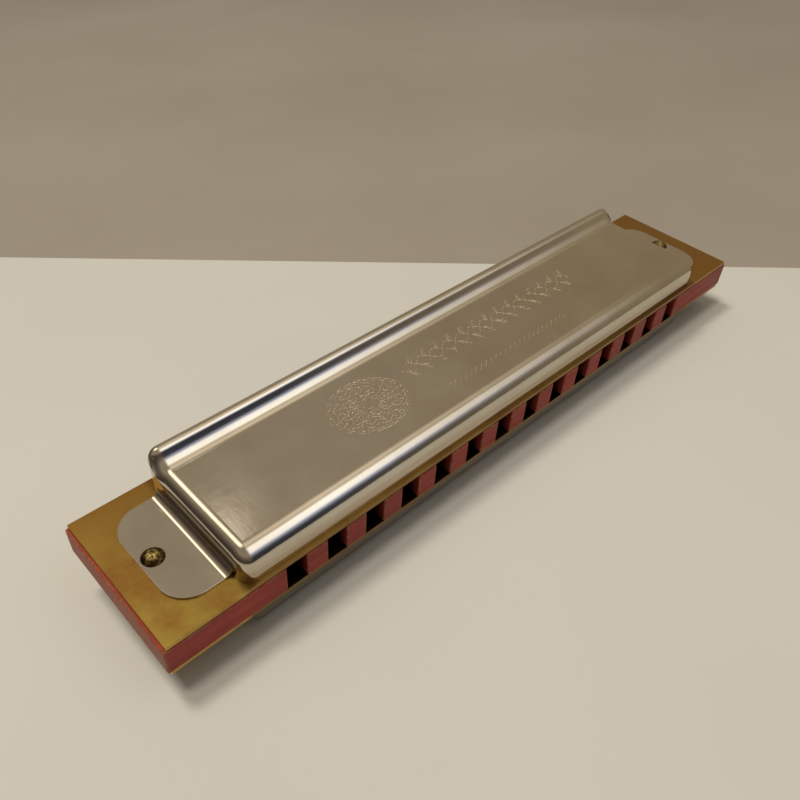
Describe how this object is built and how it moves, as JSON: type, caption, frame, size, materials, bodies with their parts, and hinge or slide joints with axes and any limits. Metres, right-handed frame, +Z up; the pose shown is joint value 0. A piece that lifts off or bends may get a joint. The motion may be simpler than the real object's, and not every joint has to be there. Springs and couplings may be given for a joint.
{
  "type": "harmonica",
  "caption": "Long diatonic mouth organ: painted wooden comb with square blow holes between brass reed plates, under drawn nickel-plated covers open at the back.",
  "frame": {"origin": "on the surface that it lies on, under the middle of its length and depth", "axes": "+X along the holes from the low notes to the high notes, -Y out of the blow holes towards the player, +Z up through the upper cover"},
  "size_m": [0.175, 0.033, 0.0266],
  "materials": {
    "painted_comb": "thin red-brown paint over wood grain, worn at the edges",
    "reed_plates": "rolled brass sheet with a golden-brown patina",
    "reeds": "milled brass strip, clean",
    "covers": "drawn sheet metal with worn, satin-bright nickel plating",
    "cover_nails": "tarnished brass with a rubbed bright crown",
    "plate_nails": "dull brass"
  },
  "bodies": {
    "harmonica": {"comb": "painted_comb", "upper_reed_plate": "reed_plates", "lower_reed_plate": "reed_plates", "upper_cover": "covers", "lower_cover": "covers", "upper_cover_nail_1": "cover_nails", "upper_cover_nail_2": "cover_nails", "lower_cover_nail_1": "cover_nails", "lower_cover_nail_2": "cover_nails", "upper_plate_nail_01": "plate_nails", "upper_plate_nail_02": "plate_nails", "upper_plate_nail_03": "plate_nails", "upper_plate_nail_04": "plate_nails", "upper_plate_nail_05": "plate_nails", "upper_plate_nail_06": "plate_nails", "upper_plate_nail_07": "plate_nails", "upper_plate_nail_08": "plate_nails", "upper_plate_nail_09": "plate_nails", "upper_plate_nail_10": "plate_nails", "lower_plate_nail_01": "plate_nails", "lower_plate_nail_02": "plate_nails", "lower_plate_nail_03": "plate_nails", "lower_plate_nail_04": "plate_nails", "lower_plate_nail_05": "plate_nails", "lower_plate_nail_06": "plate_nails", "lower_plate_nail_07": "plate_nails", "lower_plate_nail_08": "plate_nails", "lower_plate_nail_09": "plate_nails", "lower_plate_nail_10": "plate_nails"},
    "blow_reed_01": {"blow_reed_01": "reeds"},
    "draw_reed_01": {"draw_reed_01": "reeds"},
    "blow_reed_02": {"blow_reed_02": "reeds"},
    "draw_reed_02": {"draw_reed_02": "reeds"},
    "blow_reed_03": {"blow_reed_03": "reeds"},
    "draw_reed_03": {"draw_reed_03": "reeds"},
    "blow_reed_04": {"blow_reed_04": "reeds"},
    "draw_reed_04": {"draw_reed_04": "reeds"},
    "blow_reed_05": {"blow_reed_05": "reeds"},
    "draw_reed_05": {"draw_reed_05": "reeds"},
    "blow_reed_06": {"blow_reed_06": "reeds"},
    "draw_reed_06": {"draw_reed_06": "reeds"},
    "blow_reed_07": {"blow_reed_07": "reeds"},
    "draw_reed_07": {"draw_reed_07": "reeds"},
    "blow_reed_08": {"blow_reed_08": "reeds"},
    "draw_reed_08": {"draw_reed_08": "reeds"},
    "blow_reed_09": {"blow_reed_09": "reeds"},
    "draw_reed_09": {"draw_reed_09": "reeds"},
    "blow_reed_10": {"blow_reed_10": "reeds"},
    "draw_reed_10": {"draw_reed_10": "reeds"},
    "blow_reed_11": {"blow_reed_11": "reeds"},
    "draw_reed_11": {"draw_reed_11": "reeds"},
    "blow_reed_12": {"blow_reed_12": "reeds"},
    "draw_reed_12": {"draw_reed_12": "reeds"},
    "blow_reed_13": {"blow_reed_13": "reeds"},
    "draw_reed_13": {"draw_reed_13": "reeds"},
    "blow_reed_14": {"blow_reed_14": "reeds"},
    "draw_reed_14": {"draw_reed_14": "reeds"}
  },
  "joints": [
    {"name": "blow_reed_01_swing", "type": "hinge", "parent": "harmonica", "child": "blow_reed_01", "pos_m": [-0.06078, 0.007, 0.01613], "axis": [1, 0, 0], "range_deg": [-3.2, 3.2], "stiffness_Nm_per_rad": 0.03},
    {"name": "draw_reed_01_swing", "type": "hinge", "parent": "harmonica", "child": "draw_reed_01", "pos_m": [-0.06078, -0.0111, 0.00893], "axis": [1, 0, 0], "range_deg": [-3.2, 3.2], "stiffness_Nm_per_rad": 0.03},
    {"name": "blow_reed_02_swing", "type": "hinge", "parent": "harmonica", "child": "blow_reed_02", "pos_m": [-0.05142, 0.00627, 0.01613], "axis": [1, 0, 0], "range_deg": [-3.2, 3.2], "stiffness_Nm_per_rad": 0.0323},
    {"name": "draw_reed_02_swing", "type": "hinge", "parent": "harmonica", "child": "draw_reed_02", "pos_m": [-0.05142, -0.0111, 0.00893], "axis": [1, 0, 0], "range_deg": [-3.2, 3.2], "stiffness_Nm_per_rad": 0.0323},
    {"name": "blow_reed_03_swing", "type": "hinge", "parent": "harmonica", "child": "blow_reed_03", "pos_m": [-0.04208, 0.00554, 0.01613], "axis": [1, 0, 0], "range_deg": [-3.2, 3.2], "stiffness_Nm_per_rad": 0.0346},
    {"name": "draw_reed_03_swing", "type": "hinge", "parent": "harmonica", "child": "draw_reed_03", "pos_m": [-0.04208, -0.0111, 0.00893], "axis": [1, 0, 0], "range_deg": [-3.2, 3.2], "stiffness_Nm_per_rad": 0.0346},
    {"name": "blow_reed_04_swing", "type": "hinge", "parent": "harmonica", "child": "blow_reed_04", "pos_m": [-0.03272, 0.00481, 0.01613], "axis": [1, 0, 0], "range_deg": [-3.2, 3.2], "stiffness_Nm_per_rad": 0.0369},
    {"name": "draw_reed_04_swing", "type": "hinge", "parent": "harmonica", "child": "draw_reed_04", "pos_m": [-0.03272, -0.0111, 0.00893], "axis": [1, 0, 0], "range_deg": [-3.2, 3.2], "stiffness_Nm_per_rad": 0.0369},
    {"name": "blow_reed_05_swing", "type": "hinge", "parent": "harmonica", "child": "blow_reed_05", "pos_m": [-0.02337, 0.00408, 0.01613], "axis": [1, 0, 0], "range_deg": [-3.2, 3.2], "stiffness_Nm_per_rad": 0.0392},
    {"name": "draw_reed_05_swing", "type": "hinge", "parent": "harmonica", "child": "draw_reed_05", "pos_m": [-0.02337, -0.0111, 0.00893], "axis": [1, 0, 0], "range_deg": [-3.2, 3.2], "stiffness_Nm_per_rad": 0.0392},
    {"name": "blow_reed_06_swing", "type": "hinge", "parent": "harmonica", "child": "blow_reed_06", "pos_m": [-0.01402, 0.00335, 0.01613], "axis": [1, 0, 0], "range_deg": [-3.2, 3.2], "stiffness_Nm_per_rad": 0.0415},
    {"name": "draw_reed_06_swing", "type": "hinge", "parent": "harmonica", "child": "draw_reed_06", "pos_m": [-0.01402, -0.0111, 0.00893], "axis": [1, 0, 0], "range_deg": [-3.2, 3.2], "stiffness_Nm_per_rad": 0.0415},
    {"name": "blow_reed_07_swing", "type": "hinge", "parent": "harmonica", "child": "blow_reed_07", "pos_m": [-0.00468, 0.00262, 0.01613], "axis": [1, 0, 0], "range_deg": [-3.2, 3.2], "stiffness_Nm_per_rad": 0.0438},
    {"name": "draw_reed_07_swing", "type": "hinge", "parent": "harmonica", "child": "draw_reed_07", "pos_m": [-0.00468, -0.0111, 0.00893], "axis": [1, 0, 0], "range_deg": [-3.2, 3.2], "stiffness_Nm_per_rad": 0.0438},
    {"name": "blow_reed_08_swing", "type": "hinge", "parent": "harmonica", "child": "blow_reed_08", "pos_m": [0.00468, 0.00188, 0.01613], "axis": [1, 0, 0], "range_deg": [-3.2, 3.2], "stiffness_Nm_per_rad": 0.0462},
    {"name": "draw_reed_08_swing", "type": "hinge", "parent": "harmonica", "child": "draw_reed_08", "pos_m": [0.00468, -0.0111, 0.00893], "axis": [1, 0, 0], "range_deg": [-3.2, 3.2], "stiffness_Nm_per_rad": 0.0462},
    {"name": "blow_reed_09_swing", "type": "hinge", "parent": "harmonica", "child": "blow_reed_09", "pos_m": [0.01402, 0.00115, 0.01613], "axis": [1, 0, 0], "range_deg": [-3.2, 3.2], "stiffness_Nm_per_rad": 0.0485},
    {"name": "draw_reed_09_swing", "type": "hinge", "parent": "harmonica", "child": "draw_reed_09", "pos_m": [0.01402, -0.0111, 0.00893], "axis": [1, 0, 0], "range_deg": [-3.2, 3.2], "stiffness_Nm_per_rad": 0.0485},
    {"name": "blow_reed_10_swing", "type": "hinge", "parent": "harmonica", "child": "blow_reed_10", "pos_m": [0.02337, 0.00042, 0.01613], "axis": [1, 0, 0], "range_deg": [-3.2, 3.2], "stiffness_Nm_per_rad": 0.0508},
    {"name": "draw_reed_10_swing", "type": "hinge", "parent": "harmonica", "child": "draw_reed_10", "pos_m": [0.02337, -0.0111, 0.00893], "axis": [1, 0, 0], "range_deg": [-3.2, 3.2], "stiffness_Nm_per_rad": 0.0508},
    {"name": "blow_reed_11_swing", "type": "hinge", "parent": "harmonica", "child": "blow_reed_11", "pos_m": [0.03272, -0.00031, 0.01613], "axis": [1, 0, 0], "range_deg": [-3.2, 3.2], "stiffness_Nm_per_rad": 0.0531},
    {"name": "draw_reed_11_swing", "type": "hinge", "parent": "harmonica", "child": "draw_reed_11", "pos_m": [0.03272, -0.0111, 0.00893], "axis": [1, 0, 0], "range_deg": [-3.2, 3.2], "stiffness_Nm_per_rad": 0.0531},
    {"name": "blow_reed_12_swing", "type": "hinge", "parent": "harmonica", "child": "blow_reed_12", "pos_m": [0.04208, -0.00104, 0.01613], "axis": [1, 0, 0], "range_deg": [-3.2, 3.2], "stiffness_Nm_per_rad": 0.0554},
    {"name": "draw_reed_12_swing", "type": "hinge", "parent": "harmonica", "child": "draw_reed_12", "pos_m": [0.04208, -0.0111, 0.00893], "axis": [1, 0, 0], "range_deg": [-3.2, 3.2], "stiffness_Nm_per_rad": 0.0554},
    {"name": "blow_reed_13_swing", "type": "hinge", "parent": "harmonica", "child": "blow_reed_13", "pos_m": [0.05142, -0.00177, 0.01613], "axis": [1, 0, 0], "range_deg": [-3.2, 3.2], "stiffness_Nm_per_rad": 0.0577},
    {"name": "draw_reed_13_swing", "type": "hinge", "parent": "harmonica", "child": "draw_reed_13", "pos_m": [0.05142, -0.0111, 0.00893], "axis": [1, 0, 0], "range_deg": [-3.2, 3.2], "stiffness_Nm_per_rad": 0.0577},
    {"name": "blow_reed_14_swing", "type": "hinge", "parent": "harmonica", "child": "blow_reed_14", "pos_m": [0.06078, -0.0025, 0.01613], "axis": [1, 0, 0], "range_deg": [-3.2, 3.2], "stiffness_Nm_per_rad": 0.06},
    {"name": "draw_reed_14_swing", "type": "hinge", "parent": "harmonica", "child": "draw_reed_14", "pos_m": [0.06078, -0.0111, 0.00893], "axis": [1, 0, 0], "range_deg": [-3.2, 3.2], "stiffness_Nm_per_rad": 0.06}
  ]
}
